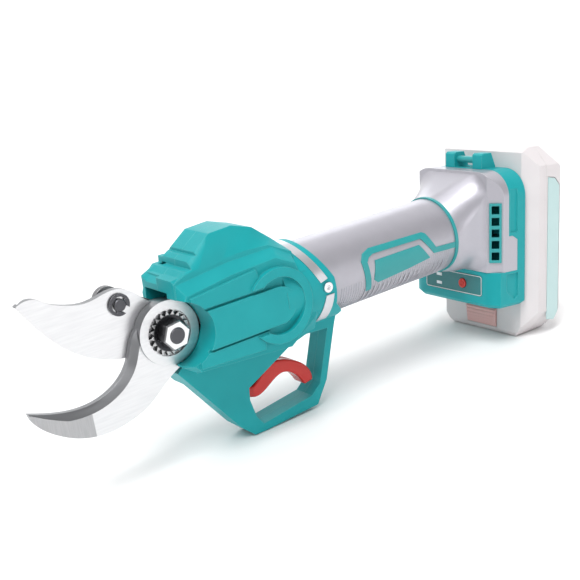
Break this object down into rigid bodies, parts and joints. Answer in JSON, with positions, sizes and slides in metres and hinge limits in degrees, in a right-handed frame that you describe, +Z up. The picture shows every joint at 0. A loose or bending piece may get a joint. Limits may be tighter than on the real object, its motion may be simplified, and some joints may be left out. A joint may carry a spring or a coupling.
{
  "type": "battery pruner",
  "caption": "Hand-held battery pruner: fixed steel hook, gear-driven cutting blade, nylon head with trigger guard, ribbed tube grip, flared rear housing and a slide-off battery pack.",
  "frame": {"origin": "centre of the bounding box's base, on the ground the tool stands on with its guard and pack", "axes": "+X to the rear along the grip, +Y to the user's right, +Z up; the blades point to -X and the blade pivot's axis is Y"},
  "size_m": [0.3282, 0.076, 0.1118],
  "materials": {
    "teal_shell": "fine-textured moulded nylon",
    "teal_trim": "smooth moulded plastic",
    "teal_foot": "fine-textured moulded nylon",
    "blade_steel": "ground and satin polished",
    "hub_steel": "turned and zinc plated",
    "dark_steel": "blackened",
    "gear_steel": "sintered",
    "bright_steel": "polished",
    "bronze": "plain",
    "collar_metal": "satin",
    "grip_metal": "satin anodised",
    "housing_silver": "silver paint on nylon",
    "trigger_red": "glossy",
    "button_red": "soft",
    "black_plastic": "plain",
    "white_print": "printed",
    "lamp_clear": "diffusing lens",
    "copper": "enamelled wire",
    "board_green": "solder mask",
    "nickel": "plated",
    "pack_white": "pale moulded plastic",
    "pack_inset": "pale teal insert",
    "pack_release": "pale red plastic",
    "cell_wrap": "shrink sleeve"
  },
  "bodies": {
    "frame": {"fixed_hook": "blade_steel", "pivot_bolt": "dark_steel", "pivot_bushing": "bronze", "lock_ring": "hub_steel", "clamp_nut": "hub_steel", "pinion_bearings": "bright_steel", "gearbox_case": "gear_steel", "motor_can": "dark_steel", "motor_stator": "gear_steel", "motor_windings": "copper", "motor_bearings": "bright_steel", "handle_tube": "grip_metal", "collar_band": "collar_metal", "collar_screws": "bright_steel", "head_shell_left": "teal_shell", "head_shell_right": "teal_shell", "head_screws": "dark_steel", "hook_screws": "dark_steel", "trigger_pin": "bright_steel", "trigger_switch": "black_plastic", "handle_ring": "teal_trim", "grip_frames": "teal_trim", "grip_badges": "teal_trim", "rear_housing": "housing_silver", "vent_strips": "teal_trim", "pack_foot": "teal_foot", "lanyard_bar": "teal_trim", "control_panel": "teal_trim", "panel_border": "white_print", "led_windows": "lamp_clear", "button_board": "board_green", "controller_board": "board_green", "board_capacitors": "black_plastic", "board_rails": "black_plastic", "terminal_block": "black_plastic", "terminal_blades": "nickel"},
    "blade": {"cutting_blade": "blade_steel", "sector_gear": "gear_steel", "blade_pin": "dark_steel", "blade_pin_clip": "dark_steel"},
    "carrier": {"bevel_pinion": "gear_steel", "planet_carrier": "gear_steel"},
    "planet_1": {"planet_gear_1": "gear_steel"},
    "planet_2": {"planet_gear_2": "gear_steel"},
    "planet_3": {"planet_gear_3": "gear_steel"},
    "rotor": {"rotor_shaft": "bright_steel", "rotor_core": "gear_steel", "cooling_fan": "black_plastic"},
    "trigger": {"trigger": "trigger_red"},
    "plunger": {"switch_plunger": "trigger_red"},
    "power_button": {"power_button": "button_red"},
    "pack": {"pack_front_shell": "pack_white", "pack_rear_shell": "pack_white", "pack_side_grips": "pack_inset", "battery_cells": "cell_wrap", "cell_straps": "nickel", "pack_board": "board_green", "pack_contacts": "nickel"},
    "release_button": {"release_button": "pack_release"}
  },
  "joints": [
    {"name": "blade_pivot", "type": "hinge", "parent": "frame", "child": "blade", "pos_m": [-0.09013, 0, 0.0695], "axis": [0, -1, 0], "range_deg": [0, 42]},
    {"name": "pinion_spin", "type": "hinge", "parent": "frame", "child": "carrier", "pos_m": [-0.05013, 0, 0.0695], "axis": [1, 0, 0], "range_deg": [0, 150]},
    {"name": "rotor_spin", "type": "hinge", "parent": "frame", "child": "rotor", "pos_m": [0.00987, 0, 0.0695], "axis": [1, 0, 0], "range_deg": [0, 750]},
    {"name": "trigger_pull", "type": "hinge", "parent": "frame", "child": "trigger", "pos_m": [-0.05663, 0, 0.0265], "axis": [0, -1, 0], "range_deg": [0, 7], "stiffness_Nm_per_rad": 0.4, "springref_deg": -6.88},
    {"name": "plunger_press", "type": "slide", "parent": "frame", "child": "plunger", "axis": [-1, 0, 0], "range_m": [0, 0.0006]},
    {"name": "power_press", "type": "slide", "parent": "frame", "child": "power_button", "axis": [0.9925, 0, -0.1219], "range_m": [0, 0.0006], "stiffness_N_per_m": 600, "springref_m": -0.0004},
    {"name": "pack_slide", "type": "slide", "parent": "frame", "child": "pack", "axis": [-0.1219, 0, -0.9925], "range_m": [0, 0.08]},
    {"name": "release_press", "type": "slide", "parent": "pack", "child": "release_button", "axis": [0.9925, 0, -0.1219], "range_m": [0, 0.0025], "stiffness_N_per_m": 900, "springref_m": -0.001},
    {"name": "planet_1_spin", "type": "hinge", "parent": "carrier", "child": "planet_1", "pos_m": [-0.01813, 0.0093, 0.0695], "axis": [1, 0, 0], "range_deg": [-400, 0]},
    {"name": "planet_2_spin", "type": "hinge", "parent": "carrier", "child": "planet_2", "pos_m": [-0.01813, -0.00465, 0.07755], "axis": [1, 0, 0], "range_deg": [-400, 0]},
    {"name": "planet_3_spin", "type": "hinge", "parent": "carrier", "child": "planet_3", "pos_m": [-0.01813, -0.00465, 0.06145], "axis": [1, 0, 0], "range_deg": [-400, 0]}
  ],
  "couplings": [
    {"joint": "pinion_spin", "follows": "blade_pivot", "ratio": 3.5556},
    {"joint": "rotor_spin", "follows": "blade_pivot", "ratio": 17.778},
    {"joint": "plunger_press", "follows": "trigger_pull", "m_per_rad": 0.0038},
    {"joint": "planet_1_spin", "follows": "blade_pivot", "ratio": -9.4815},
    {"joint": "planet_2_spin", "follows": "blade_pivot", "ratio": -9.4815},
    {"joint": "planet_3_spin", "follows": "blade_pivot", "ratio": -9.4815}
  ]
}
